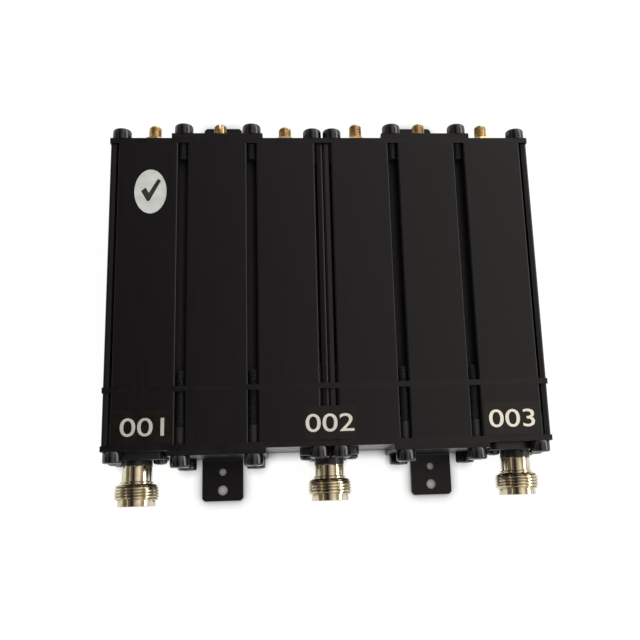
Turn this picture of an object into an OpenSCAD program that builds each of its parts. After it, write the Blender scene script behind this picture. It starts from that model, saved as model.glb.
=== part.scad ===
// Six cavity notch duplexer for two-way radio, 160 x 117 x 30 mm body.
// X runs across the ports, Y from the ports to the tuning screws, Z from the back plane to the front.
// The origin is the centre of the four large bracket holes, on the back plane.

/* [Body] */
// Depth of the body, from the back plane to the front lands
body_depth = 30; // [29:0.5:34]
// Open end of a resonator to the tuning end plate
open_end_gap = 12.8; // [8:0.1:17]
// Length of the coupling cells behind the ports
coupling_length = 18.5; // [16:0.5:24]
// Thickness of the two end plates and of the partition
plate_t = 2; // [1.5:0.1:3]
// How far the plates stand past the blocks on each side
plate_overhang = 0.2; // [0:0.05:0.5]
// Corner radius of the plates
plate_corner_r = 0.4; // [0.2:0.1:1]

/* [Block profile] */
// Width of a cavity
cavity_w = 19; // [17:0.25:19.25]
// Width of the web between two cavities
web_w = 6.7; // [6:0.1:10]
// Thickness of the wall along the side of a block
side_wall_t = 4.7; // [4.3:0.1:7.5]
// Wall between a cavity and the front or back face
wall_t = 2.5; // [2:0.1:3.5]
// Corner radius inside a cavity
cavity_corner_r = 3; // [1:0.25:4]
// Radius of the boss round a screw hole at the end of a block
boss_r = 3.4; // [3:0.1:3.8]
// Width of the open slot between two lands
land_slot_w = 3.6; // [2.5:0.1:3.9]
// Width of the ledge along the side of a block
ledge_w = 2.25; // [1.8:0.05:2.6]
// Width of the slit between the ledge and the first land
slit_w = 0.9; // [0.5:0.1:1.2]
// Depth of the ledge below the lands
ledge_drop = 0.8; // [0.4:0.1:1.2]
// Radius along the edges of a land
land_edge_r = 0.6; // [0.3:0.1:0.9]
// Radius along the front edge of a block's side
side_edge_r = 0.9; // [0.4:0.1:1.2]
// Radius along the back edge of a block's side
back_edge_r = 0.5; // [0.2:0.1:1]

/* [Screw channels] */
// Clearance all round a cap screw in its channel or hole in a block
channel_gap = 0.15; // [0.1:0.025:0.3]
// Front face to the centre of the front screw row
channel_depth = 2.87; // [2.7:0.05:3.3]
// Back plane to the centre of the rear screw row
rear_row_z = 5.6; // [5.3:0.1:6]
// Side of a block to the heads of its end screws
end_head_inset = 0.3; // [0.1:0.1:0.7]

/* [Cap screws] */
// Thread diameter of the cap screws
cap_d = 4; // [3:0.5:4]
// Head diameter of a cap screw
cap_head_d = 7; // [5.5:0.25:7]
// Head height of a cap screw
cap_head_h = 4; // [3:0.25:5]
// Width across the flats of the hexagon socket
hex_key = 3; // [2:0.5:3.5]
// Depth of the hexagon socket
hex_depth = 2; // [1:0.25:2.5]
// Length under the head at the tuning end
tuning_cap_l = 10; // [8:1:14]
// Length under the head at the port end, through the coupling block into the cavity block
port_cap_l = 30; // [28:1:35]
// Clearance all round a screw in a plate
screw_gap = 0.2; // [0.1:0.05:0.4]

/* [Brackets] */
// Gap between a bracket's foot and the flange of the outer port
foot_port_gap = 1.55; // [0.25:0.05:2.15]
// Thickness of the bracket sheet
sheet_t = 2; // [1.5:0.1:2.5]
// Inside radius of the fold
bend_r = 0.5; // [0.25:0.25:1.5]
// Width of the tab
tab_w = 15.4; // [12:0.1:17]
// End plate to the end of the tab
tab_reach = 17.5; // [16:0.5:22]
// Chamfer on the tab's corners
tab_chamfer = 1; // [0.5:0.1:2]
// Diameter of the small hole in the tab
small_hole_d = 2.75; // [2:0.05:3.5]
// End plate to the small hole
small_hole_out = 6.75; // [5:0.05:7.5]
// Diameter of the large hole in the tab
large_hole_d = 3.7; // [3:0.05:4.5]
// End plate to the large hole
large_hole_out = 13.55; // [12:0.05:14]
// Width of the relief notch on each side of the tab
notch_w = 1.6; // [1:0.1:2]
// Depth of the relief notch
notch_l = 4.5; // [3.5:0.1:6]

/* [Ports] */
// Flange screw to the end of a port's flange
flange_ear = 2.55; // [1.85:0.05:2.65]
// Gap between a port's flange and the screw heads above and below it
flange_head_gap = 0.165; // [0.065:0.05:0.765]
// Thickness of a port's flange
flange_t = 2.6; // [2:0.1:3]
// Corner radius of a port's flange
flange_corner_r = 2.6; // [1:0.1:4]
// Gap between a port's neck and the heads of its flange screws
neck_head_gap = 0.25; // [0.1:0.05:0.6]
// Thread diameter of a flange screw
flange_screw_d = 3; // [2.5:0.5:3]
// Head diameter of a flange screw
flange_head_d = 5; // [4.5:0.1:5.2]
// Head height of a flange screw
flange_head_h = 1.5; // [1:0.1:2.2]
// Diameter of the neck between the flange and the thread
neck_d = 10.8; // [10:0.1:11.8]
// Flange seat to the end of the neck
neck_out = 10.1; // [9:0.1:11]
// Diameter over the coupling thread
thread_d = 15.875; // [15.7:0.025:16]
// Length of the pilot in front of the thread
pilot_l = 2.15; // [1.75:0.05:3.15]
// Length of the cone at the neck end of the thread
thread_back_cone = 1.6; // [1:0.1:2]
// Length of the cone at the mouth end of the thread
thread_front_cone = 1; // [0.5:0.1:1.4]
// Outer diameter of the pilot in front of the thread
pilot_d = 13.4; // [12.8:0.1:13.8]
// Flange seat to the mouth of the port
port_reach = 18.75; // [18:0.05:20]
// Diameter of the mouth
mouth_d = 8.1; // [8:0.05:8.4]
// Depth of the mouth
mouth_depth = 9.1; // [8.6:0.1:9.4]
// Diameter of the insulated line behind the mouth
line_d = 7; // [6.5:0.1:7.2]
// Diameter of the part of the port that fills the hole in the end plate
spigot_d = 8.8; // [8.4:0.1:8.8]
// Outer diameter of the centre contact
contact_d = 3.04; // [2.9:0.02:3.2]
// Bore of the centre contact
contact_bore_d = 1.66; // [1.6:0.02:1.8]
// Depth of the bore of the centre contact
contact_bore_l = 6; // [5:0.25:8]
// Mouth to the tip of the centre contact
contact_set_back = 4; // [3.6:0.1:4.6]
// Width of the slits in the centre contact
contact_slit_w = 0.25; // [0.2:0.05:0.3]
// Length of the slits in the centre contact
contact_slit_l = 4.5; // [3:0.25:5]
// Diameter of the contact's tail behind the insulator
tail_d = 2; // [1.6:0.1:2.4]
// Set-back of the insulator's front face from the foot of the mouth
insulator_set_back = 0.4; // [0.1:0.1:1]
// How far the insulator stands into the coupling cell
insulator_tail = 2.6; // [1:0.1:3.4]

/* [Tuning screws] */
// Thread diameter of the tuning screws
tuner_d = 5; // [4:0.25:5]
// Length of a tuning screw
tuner_l = 42; // [38:0.5:44]
// Height of tuning screw 1 above the end plate
tuner_1_h = 11.5; // [11:0.05:14]
// Height of tuning screw 2 above the end plate
tuner_2_h = 12.25; // [11:0.05:14]
// Height of tuning screw 3 above the end plate
tuner_3_h = 11; // [10.5:0.05:14]
// Height of tuning screw 4 above the end plate
tuner_4_h = 12.25; // [11:0.05:14]
// Height of tuning screw 5 above the end plate
tuner_5_h = 12.5; // [11:0.05:14]
// Height of tuning screw 6 above the end plate
tuner_6_h = 11.9; // [11:0.05:14]
// Turn of the driver slot of screw 1, from the X axis
tuner_1_turn = 34; // [0:1:180]
// Turn of the driver slot of screw 2
tuner_2_turn = 92; // [0:1:180]
// Turn of the driver slot of screw 3
tuner_3_turn = 48; // [0:1:180]
// Turn of the driver slot of screw 4
tuner_4_turn = 57; // [0:1:180]
// Turn of the driver slot of screw 5
tuner_5_turn = 58; // [0:1:180]
// Turn of the driver slot of screw 6
tuner_6_turn = 77; // [0:1:180]
// Width of the driver slot
driver_slot_w = 1; // [0.6:0.1:1.4]
// Depth of the driver slot
driver_slot_l = 2.2; // [1:0.1:3]
// Chamfer on the tip of a tuning screw
tuner_chamfer = 0.8; // [0.2:0.1:1]
// Clearance all round a tuning screw in its bush and lock nut
tuner_gap = 0.08; // [0.05:0.01:0.1]
// Width across the flats of a lock nut
nut_flats = 8; // [6.8:0.1:8.6]
// Height of a lock nut
nut_h = 4; // [2.5:0.1:4.2]
// Turn of lock nut 1, from a corner on the X axis
nut_1_turn = 12; // [0:1:60]
// Turn of lock nut 2
nut_2_turn = 30; // [0:1:60]
// Turn of lock nut 3
nut_3_turn = 0; // [0:1:60]
// Turn of lock nut 4
nut_4_turn = 0; // [0:1:60]
// Turn of lock nut 5
nut_5_turn = 40; // [0:1:60]
// Turn of lock nut 6
nut_6_turn = 45; // [0:1:60]
// Outer diameter of a threaded bush
bush_d = 7; // [6.5:0.1:7.2]
// Diameter of the bush's flange inside the cavity
bush_flange_d = 10; // [9:0.25:12]
// Thickness of the bush's flange
bush_flange_t = 1.5; // [1:0.1:3]
// Clearance all round what is pressed, soldered or laid in a hole
seat_gap = 0.05; // [0.02:0.01:0.1]
// Clearance all round the bush in the bracket
bracket_bush_gap = 0.25; // [0.1:0.05:0.4]

/* [Guide sleeves] */
// Clearance all round a guide sleeve in its resonator
sleeve_gap = 0.1; // [0.05:0.025:0.3]
// Length of a guide sleeve
sleeve_l = 9.6; // [6:0.2:10]
// Diameter of the screw's journal inside the sleeve
journal_d = 3.6; // [2.6:0.1:4]
// Clearance all round the journal in the sleeve
journal_gap = 0.08; // [0.05:0.01:0.1]
// Diameter of the collar that keeps the sleeve on
collar_d = 5; // [4.6:0.1:5]
// Thickness of the collar
collar_t = 1; // [0.6:0.1:1.5]
// End play of the sleeve at each side
sleeve_play = 0.2; // [0.1:0.05:0.4]

/* [Resonators] */
// Outer diameter of a resonator
resonator_d = 8; // [7.8:0.1:8.4]
// Length of a resonator
resonator_l = 80; // [76:0.5:96]
// Bore at the open end of a resonator
resonator_bore_d = 6.6; // [6.6:0.05:6.9]
// Depth of that bore
resonator_bore_l = 30; // [28:0.5:36]
// Depth of the screw hole in the resonator's foot
resonator_tap_l = 8; // [7.5:0.5:12]
// Length under the head of a resonator screw
resonator_screw_l = 8; // [6:0.5:8.5]

/* [Coupling parts] */
// Diameter of the feed lines
feed_d = 2; // [1.6:0.1:2.4]
// Inside of the port end plate to the feed lines
feed_in = 7.65; // [7:0.05:8.5]
// Space between the two feed lines over the middle port
feed_split = 0.4; // [0.2:0.1:0.8]
// Diameter of the holes for the feed lines in the webs
feed_hole_d = 4; // [3.6:0.1:5]
// Diameter of the pocket for the middle port in the two coupling blocks
port_pocket_d = 9; // [9:0.1:12]
// Wire diameter of the coupling loops
loop_d = 1.6; // [1.2:0.1:1.8]
// Front wall of the cavity to the outer leg of a loop
loop_under_wall = 2.9; // [2.7:0.1:3.2]
// Gap between a resonator and the inner leg of its loop
loop_over_resonator = 0.8; // [0.6:0.1:1.2]
// Straight length of a loop inside the cavity
loop_reach = 10; // [6:0.5:20]
// Bend radius of a loop above its feed line
loop_bend_r = 2; // [1.5:0.1:2.5]
// Outer diameter of a feed bush
feed_bush_d = 3.4; // [3:0.1:3.6]
// Diameter of a feed bush's flange
feed_bush_flange_d = 4.6; // [4.2:0.1:4.8]
// Thickness of a feed bush's flange
feed_bush_flange_t = 0.8; // [0.5:0.1:1.2]

/* [Labels] */
// Width of the outer port labels
label_w = 20.2; // [16:0.1:21]
// Width of the middle port label
middle_label_w = 18.4; // [14:0.1:20]
// Height of the port labels
label_h = 12; // [8:0.1:12.2]
// Port end of the body to the middle of the labels
label_in = 8.2; // [8.2:0.1:10]
// Thickness of the label film
label_t = 0.15; // [0.1:0.01:0.2]
// Corner radius of the port labels
label_corner_r = 0.6; // [0.2:0.1:1.5]
// Width of the oval sticker
oval_w = 11.8; // [10:0.1:14]
// Height of the oval sticker
oval_h = 17.3; // [14:0.1:20]
// Tuning end of the body to the middle of the oval sticker
oval_in = 21.6; // [14:0.1:40]
// Middle of the first land to the middle of the oval sticker
oval_shift = 1.1; // [0:0.1:3]

/* [Hidden] */
$fn = 64;

// Cuts run this far past a face
past = 1;
// The block holds three cavities, and the body two blocks side by side
cavity_pitch = cavity_w + web_w;
block_w = 3 * cavity_w + 2 * web_w + 2 * side_wall_t;
half_block_w = block_w / 2;
plate_half_w = block_w + plate_overhang;
cavity_length = resonator_l + open_end_gap;
sleeve_d = resonator_bore_d - 2 * sleeve_gap;
body_length = cavity_length + coupling_length + 3 * plate_t;
// Stack of the body along Y
port_face_y = -body_length / 2;
coupling_y = port_face_y + plate_t;
partition_y = coupling_y + coupling_length;
cavity_y = partition_y + plate_t;
tuning_plate_y = cavity_y + cavity_length;
tuning_face_y = tuning_plate_y + plate_t;
// Heights in the section
mid_z = body_depth / 2;
ledge_z = body_depth - ledge_drop;
front_row_z = body_depth - channel_depth;
screw_rows = [rear_row_z, front_row_z];
channel_d = cap_d + 2 * channel_gap;
end_channel_inset = end_head_inset + cap_head_d / 2;
// Screw columns of one block, from its middle
block_columns = [
    -half_block_w + end_channel_inset, -cavity_pitch / 2,
    cavity_pitch / 2, half_block_w - end_channel_inset
];
// The outer lands start past the ledge and the slit
land_end = half_block_w - ledge_w - slit_w;
// The flanges stand between the screw rows, and the outer ones end level with the plate
flange_span = neck_d + flange_head_d + 2 * neck_head_gap;
flange_w = flange_span + 2 * flange_ear;
flange_h = front_row_z - rear_row_z - cap_head_d - 2 * flange_head_gap;
port_offset = plate_half_w - flange_w / 2;
port_z = (rear_row_z + front_row_z) / 2;
thread_out = port_reach - pilot_l;
// A foot is centred on its block and ends short of the outer port's flange
foot_w = 2 * (port_offset - flange_w / 2 - foot_port_gap - half_block_w);
// The fold's outside radius
fold_r = bend_r + sheet_t;
feed_y = coupling_y + feed_in;
// A loop runs out under the front wall and back over the resonator
loop_z = body_depth - wall_t - loop_under_wall;
loop_back_z = mid_z + resonator_d / 2 + loop_over_resonator + loop_d / 2;
hairpin_r = (loop_z - loop_back_z) / 2;
tuner_heights = [tuner_1_h, tuner_2_h, tuner_3_h, tuner_4_h, tuner_5_h, tuner_6_h];
tuner_turns = [
    tuner_1_turn, tuner_2_turn, tuner_3_turn,
    tuner_4_turn, tuner_5_turn, tuner_6_turn
];
nut_turns = [nut_1_turn, nut_2_turn, nut_3_turn, nut_4_turn, nut_5_turn, nut_6_turn];
// Chamfer on the heads and tips of the cap screws
cap_chamfer = 0.4;
port_offsets = [-port_offset, 0, port_offset];

black = [0.09, 0.085, 0.09];
dark_steel = [0.14, 0.14, 0.145];
brass = [0.78, 0.62, 0.3];
nickel = [0.72, 0.7, 0.66];
silver = [0.85, 0.85, 0.84];
white = [0.93, 0.93, 0.9];
film = [0.16, 0.14, 0.11];

function block_x(side) = side * half_block_w;
function cavity_x(i) = block_x(i <= 3 ? -1 : 1) + ((i - 1) % 3 - 1) * cavity_pitch;
function on_foot(x) = abs(abs(x) - half_block_w) < foot_w / 2;
function seat_out(x) = on_foot(x) ? sheet_t : 0;

// Extrudes an X-Z section from y0 to y1
module along_y(y0, y1) {
    translate([0, y1, 0])
        rotate([90, 0, 0])
            linear_extrude(height = y1 - y0)
                children();
}

// Places what is drawn up the Z axis so that it points away from the port end
module out_of_ports(x, z, out = 0) {
    translate([x, port_face_y - out, z])
        rotate([90, 0, 0])
            children();
}

// Places what is drawn up the Z axis so that it points away from the tuning end
module out_of_tuning_end(x, z, out = 0) {
    translate([x, tuning_face_y + out, z])
        rotate([-90, 0, 0])
            children();
}

module rod_y(x, z, y0, y1, d) {
    translate([x, y0, z])
        rotate([-90, 0, 0])
            cylinder(d = d, h = y1 - y0);
}

module rod_x(y, z, x0, x1, d) {
    translate([x0, y, z])
        rotate([0, 90, 0])
            cylinder(d = d, h = x1 - x0);
}

module round_rect(w, h, r) {
    square([w - 2 * r, h], center = true);
    square([w, h - 2 * r], center = true);
    for (x = [-1, 1], y = [-1, 1])
        translate([x * (w / 2 - r), y * (h / 2 - r)])
            circle(r = r);
}

// One land, flat on top and round along both edges
module land(x0, x1) {
    translate([x0, mid_z])
        square([x1 - x0, body_depth - land_edge_r - mid_z]);
    translate([x0 + land_edge_r, mid_z])
        square([x1 - x0 - 2 * land_edge_r, body_depth - mid_z]);
    for (x = [x0 + land_edge_r, x1 - land_edge_r])
        translate([x, body_depth - land_edge_r])
            circle(r = land_edge_r);
}

// Outline of a block up to the ledges
module ledge_outline() {
    translate([-half_block_w, back_edge_r])
        square([block_w, ledge_z - back_edge_r - side_edge_r]);
    translate([-half_block_w + back_edge_r, 0])
        square([block_w - 2 * back_edge_r, mid_z]);
    translate([-half_block_w + side_edge_r, mid_z])
        square([block_w - 2 * side_edge_r, ledge_z - mid_z]);
    for (side = [-1, 1]) {
        translate([side * (half_block_w - back_edge_r), back_edge_r])
            circle(r = back_edge_r);
        translate([side * (half_block_w - side_edge_r), ledge_z - side_edge_r])
            circle(r = side_edge_r);
    }
}

// Cavities of one block, less the bosses round the end screw holes
module cavity_section() {
    difference() {
        for (k = [-1, 0, 1])
            translate([k * cavity_pitch, mid_z])
                round_rect(cavity_w, body_depth - 2 * wall_t, cavity_corner_r);
        for (side = [-1, 1], z = screw_rows)
            translate([side * (half_block_w - end_channel_inset), z])
                circle(r = boss_r);
    }
}

// The extruded section of both kinds of block
module block_section() {
    slot = land_slot_w / 2;
    difference() {
        union() {
            ledge_outline();
            land(-land_end, -cavity_pitch / 2 - slot);
            land(-cavity_pitch / 2 + slot, cavity_pitch / 2 - slot);
            land(cavity_pitch / 2 + slot, land_end);
        }
        for (side = [-1, 1]) {
            translate([side * cavity_pitch / 2 - slot, front_row_z])
                square([land_slot_w, channel_depth + past]);
            translate([side * (land_end + slit_w / 2) - slit_w / 2, front_row_z])
                square([slit_w, channel_depth + past]);
        }
        for (x = block_columns, z = screw_rows)
            translate([x, z])
                circle(d = channel_d);
        cavity_section();
    }
}

module cavity_block(side) {
    color(black)
        translate([block_x(side), 0, 0])
            along_y(cavity_y, tuning_plate_y)
                block_section();
}

// The coupling block is a short length of the same section, drilled across its
// webs for the feed line and pocketed at the joint for the middle port
module coupling_block(side) {
    web_end = half_block_w + cavity_pitch / 2 + web_w / 2 + past;
    color(black)
        difference() {
            translate([block_x(side), 0, 0])
                along_y(coupling_y, partition_y)
                    block_section();
            rod_x(feed_y, port_z, min(0, side * web_end), max(0, side * web_end), feed_hole_d);
            rod_y(0, port_z, coupling_y - past, feed_y + feed_hole_d / 2 + past, port_pocket_d);
        }
}

module plate(y0) {
    difference() {
        along_y(y0, y0 + plate_t)
            translate([0, mid_z])
                round_rect(2 * plate_half_w, body_depth, plate_corner_r);
        for (side = [-1, 1], column = block_columns, z = screw_rows)
            rod_y(block_x(side) + column, z, y0 - past, y0 + plate_t + past,
                cap_d + 2 * screw_gap);
    }
}

module tuning_end_plate() {
    color(black)
        difference() {
            plate(tuning_plate_y);
            for (i = [1 : 6])
                rod_y(cavity_x(i), mid_z, tuning_plate_y - past, tuning_face_y + past,
                    bush_d + 2 * seat_gap);
        }
}

module partition_plate() {
    color(black)
        difference() {
            plate(partition_y);
            for (i = [1 : 6]) {
                rod_y(cavity_x(i), mid_z, partition_y - past, cavity_y + past,
                    cap_d + 2 * screw_gap);
                rod_y(cavity_x(i), loop_z, partition_y - past, cavity_y + past,
                    feed_bush_d + 2 * seat_gap);
            }
        }
}

module connector_end_plate() {
    color(black)
        difference() {
            plate(port_face_y);
            for (x = port_offsets) {
                rod_y(x, port_z, port_face_y - past, coupling_y + past, spigot_d + 2 * seat_gap);
                for (side = [-1, 1])
                    rod_y(x + side * flange_span / 2, port_z, port_face_y - past,
                        coupling_y + past, flange_screw_d + 2 * seat_gap);
            }
        }
}

// Folded bracket, drawn with its foot in the X-Z plane and its tab along +Y
module bracket(centre_hole) {
    tab = tab_w / 2;
    difference() {
        along_y(0, sheet_t)
            translate([0, mid_z])
                square([foot_w, body_depth], center = true);
        // The fold takes the place of the foot's lower edge
        translate([-tab, -past, -past])
            cube([tab_w, sheet_t + 2 * past, fold_r + past]);
        for (side = [-1, 1])
            translate([side * (tab + notch_w / 2), 0, 0]) {
                translate([-notch_w / 2, -past, -past])
                    cube([notch_w, sheet_t + 2 * past, notch_l - notch_w / 2 + past]);
                rod_y(0, notch_l - notch_w / 2, -past, sheet_t + past, notch_w);
            }
        for (x = [-1, 1], z = screw_rows)
            rod_y(x * cavity_pitch / 2, z, -past, sheet_t + past, cap_d + 2 * screw_gap);
        if (centre_hole)
            rod_y(0, mid_z, -past, sheet_t + past, bush_d + 2 * bracket_bush_gap);
    }
    translate([-tab, fold_r, fold_r])
        rotate([90, 0, 90])
            rotate([0, 0, 180])
                ring_quarter(bend_r, fold_r, tab_w);
    difference() {
        linear_extrude(height = sheet_t)
            polygon([
                [-tab, fold_r], [tab, fold_r],
                [tab, tab_reach - tab_chamfer], [tab - tab_chamfer, tab_reach],
                [tab_chamfer - tab, tab_reach], [-tab, tab_reach - tab_chamfer]
            ]);
        translate([0, small_hole_out, -past])
            cylinder(d = small_hole_d, h = sheet_t + 2 * past);
        translate([0, large_hole_out, -past])
            cylinder(d = large_hole_d, h = sheet_t + 2 * past);
    }
}

// A quarter of a ring between two radii, w high
module ring_quarter(r0, r1, w) {
    rotate_extrude(angle = 90)
        translate([r0, 0])
            square([r1 - r0, w]);
}

module tuning_bracket(side) {
    color(black)
        translate([block_x(side), tuning_face_y, 0])
            bracket(true);
}

module port_bracket(side) {
    color(black)
        translate([block_x(side), port_face_y, 0])
            mirror([0, 1, 0])
                bracket(false);
}

// Socket cap screw, its head up from the seat at zero
module cap_screw(l) {
    r = cap_d / 2;
    head_r = cap_head_d / 2;
    difference() {
        rotate_extrude()
            polygon([
                [0, -l], [r - cap_chamfer, -l], [r, cap_chamfer - l], [r, 0],
                [head_r, 0], [head_r, cap_head_h - cap_chamfer],
                [head_r - cap_chamfer, cap_head_h], [0, cap_head_h]
            ]);
        translate([0, 0, cap_head_h - hex_depth])
            cylinder(d = hex_key / cos(30), h = hex_depth + past, $fn = 6);
    }
}

module tuning_end_screws() {
    color(dark_steel)
        for (side = [-1, 1], column = block_columns, z = screw_rows) {
            x = block_x(side) + column;
            out_of_tuning_end(x, z, seat_out(x))
                cap_screw(tuning_cap_l);
        }
}

module port_end_screws() {
    color(dark_steel)
        for (side = [-1, 1], column = block_columns, z = screw_rows) {
            x = block_x(side) + column;
            out_of_ports(x, z, seat_out(x))
                cap_screw(port_cap_l);
        }
}

// Quarter wave tube, screwed to the partition at its foot and open towards the tuning end
module resonator(i) {
    r = resonator_d / 2;
    rim = (resonator_d - resonator_bore_d) / 4;
    color(brass)
        difference() {
            translate([cavity_x(i), cavity_y, mid_z])
                rotate([-90, 0, 0])
                    rotate_extrude()
                        polygon([
                            [0, 0], [r, 0], [r, resonator_l - rim],
                            [r - rim, resonator_l], [0, resonator_l]
                        ]);
            rod_y(cavity_x(i), mid_z, cavity_y + resonator_l - resonator_bore_l,
                cavity_y + resonator_l + past, resonator_bore_d);
            rod_y(cavity_x(i), mid_z, cavity_y - past, cavity_y + resonator_tap_l,
                cap_d + 2 * seat_gap);
        }
}

module resonator_screws() {
    color(dark_steel)
        for (i = [1 : 6])
            translate([cavity_x(i), partition_y, mid_z])
                rotate([90, 0, 0])
                    cap_screw(resonator_screw_l);
}

// Lower end of a tuning screw, measured from the tuning end
function tuner_foot(i) = tuner_heights[i - 1] - tuner_l;

// Slotted tuning screw with a journal and a collar at its foot, which carry the sleeve
module tuning_screw(i) {
    r = tuner_d / 2;
    foot = tuner_foot(i);
    tip = tuner_heights[i - 1];
    shoulder = foot + collar_t + sleeve_l + 2 * sleeve_play;
    color(brass)
        out_of_tuning_end(cavity_x(i), mid_z)
            difference() {
                rotate_extrude()
                    polygon([
                        [0, foot], [collar_d / 2, foot], [collar_d / 2, foot + collar_t],
                        [journal_d / 2, foot + collar_t], [journal_d / 2, shoulder],
                        [r, shoulder], [r, tip - tuner_chamfer],
                        [r - tuner_chamfer, tip], [0, tip]
                    ]);
                rotate([0, 0, -tuner_turns[i - 1]])
                    translate([-tuner_d, -driver_slot_w / 2, tip - driver_slot_l])
                        cube([2 * tuner_d, driver_slot_w, driver_slot_l + past]);
            }
}

// Plastic sleeve that turns on the journal and slides in the resonator's bore
module tuner_sleeve(i) {
    low = tuner_foot(i) + collar_t + sleeve_play;
    bore_r = journal_d / 2 + journal_gap;
    color(white)
        out_of_tuning_end(cavity_x(i), mid_z)
            rotate_extrude()
                polygon([
                    [bore_r, low], [sleeve_d / 2, low],
                    [sleeve_d / 2, low + sleeve_l], [bore_r, low + sleeve_l]
                ]);
}

// Threaded bushes, flanged inside the cavity and level with the bracket sheet outside
module tuner_bushes() {
    bore_r = tuner_d / 2 + tuner_gap;
    color(brass)
        for (i = [1 : 6])
            out_of_tuning_end(cavity_x(i), mid_z)
                rotate_extrude()
                    polygon([
                        [bore_r, -plate_t - bush_flange_t],
                        [bush_flange_d / 2, -plate_t - bush_flange_t],
                        [bush_flange_d / 2, -plate_t], [bush_d / 2, -plate_t],
                        [bush_d / 2, sheet_t], [bore_r, sheet_t]
                    ]);
}

// Hexagon lock nuts, with the corners taken off on a cone
module lock_nuts() {
    corner_r = nut_flats / 2 / cos(30);
    flat_r = nut_flats / 2;
    fall = (corner_r - flat_r) * tan(30);
    color(brass)
        for (i = [1 : 6])
            out_of_tuning_end(cavity_x(i), mid_z, sheet_t)
                difference() {
                    intersection() {
                        rotate([0, 0, -nut_turns[i - 1]])
                            cylinder(r = corner_r, h = nut_h, $fn = 6);
                        rotate_extrude()
                            polygon([
                                [0, 0], [flat_r, 0], [corner_r, fall],
                                [corner_r, nut_h - fall], [flat_r, nut_h], [0, nut_h]
                            ]);
                    }
                    translate([0, 0, -past])
                        cylinder(r = tuner_d / 2 + tuner_gap, h = nut_h + 2 * past);
                }
}

// An arc of wire in the Y-Z plane round (y, z), from the angle a0 through a
module wire_arc(y, z, r, a0, a) {
    translate([0, y, z])
        rotate([90, 0, 90])
            rotate([0, 0, a0])
                rotate_extrude(angle = a)
                    translate([r, 0])
                        circle(d = loop_d);
}

// One bent wire: up from the feed line, through the partition and back to it in a hairpin
module coupling_loop(i) {
    start_z = port_z + feed_d / 2;
    turn_y = cavity_y + loop_reach;
    color(silver)
        translate([cavity_x(i), 0, 0]) {
            translate([0, feed_y, start_z])
                cylinder(d = loop_d, h = loop_z - loop_bend_r - start_z);
            wire_arc(feed_y + loop_bend_r, loop_z - loop_bend_r, loop_bend_r, 90, 90);
            rod_y(0, loop_z, feed_y + loop_bend_r, turn_y, loop_d);
            wire_arc(turn_y, loop_z - hairpin_r, hairpin_r, -90, 180);
            rod_y(0, loop_back_z, cavity_y, turn_y, loop_d);
        }
}

module feed_bushes() {
    bore_r = loop_d / 2 + seat_gap;
    color(white)
        for (i = [1 : 6])
            translate([cavity_x(i), cavity_y, loop_z])
                rotate([90, 0, 0])
                    rotate_extrude()
                        polygon([
                            [bore_r, 0], [feed_bush_d / 2, 0], [feed_bush_d / 2, plate_t],
                            [feed_bush_flange_d / 2, plate_t],
                            [feed_bush_flange_d / 2, plate_t + feed_bush_flange_t],
                            [bore_r, plate_t + feed_bush_flange_t]
                        ]);
}

// Straight line from the outer port to the middle one, over all three cells of a block
module feed_line(side) {
    x0 = side * feed_split / 2;
    x1 = side * (port_offset + feed_d / 2);
    color(silver)
        rod_x(feed_y, port_z, min(x0, x1), max(x0, x1), feed_d);
}

// Plastic tubes that carry the feed lines in the webs
module line_supports() {
    color(white)
        for (side = [-1, 1], web = [-1, 1]) {
            x = block_x(side) + web * cavity_pitch / 2;
            difference() {
                rod_x(feed_y, port_z, x - web_w / 2, x + web_w / 2,
                    feed_hole_d - 2 * seat_gap);
                rod_x(feed_y, port_z, x - web_w / 2 - past, x + web_w / 2 + past,
                    feed_d + 2 * seat_gap);
            }
        }
}

// Turned port with a two-hole flange, a neck, a coupling thread and a pilot
module port_body(x) {
    neck_r = neck_d / 2;
    thread_r = thread_d / 2;
    pilot_r = pilot_d / 2;
    root_r = thread_r - thread_back_cone;
    rim = 0.3;
    color(nickel)
        out_of_ports(x, port_z)
            difference() {
                union() {
                    rotate_extrude()
                        polygon([
                            [0, -plate_t], [spigot_d / 2, -plate_t], [spigot_d / 2, 0],
                            [neck_r, 0], [neck_r, neck_out], [root_r, neck_out],
                            [thread_r, neck_out + thread_back_cone],
                            [thread_r, thread_out - thread_front_cone],
                            [pilot_r, thread_out], [pilot_r, port_reach - rim],
                            [pilot_r - rim, port_reach], [0, port_reach]
                        ]);
                    linear_extrude(height = flange_t)
                        round_rect(flange_w, flange_h, flange_corner_r);
                }
                translate([0, 0, -plate_t - past])
                    cylinder(d = line_d + 2 * seat_gap, h = plate_t + port_reach);
                translate([0, 0, port_reach - mouth_depth])
                    cylinder(d = mouth_d, h = mouth_depth + past);
                for (side = [-1, 1])
                    translate([side * flange_span / 2, 0, -past])
                        cylinder(d = flange_screw_d + 2 * screw_gap, h = flange_t + 2 * past);
            }
}

module port_insulator(x) {
    front = port_reach - mouth_depth - insulator_set_back;
    back = -plate_t - insulator_tail;
    color(white)
        out_of_ports(x, port_z)
            rotate_extrude()
                polygon([
                    [contact_d / 2 + seat_gap, back], [line_d / 2, back],
                    [line_d / 2, front], [contact_d / 2 + seat_gap, front]
                ]);
}

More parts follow.
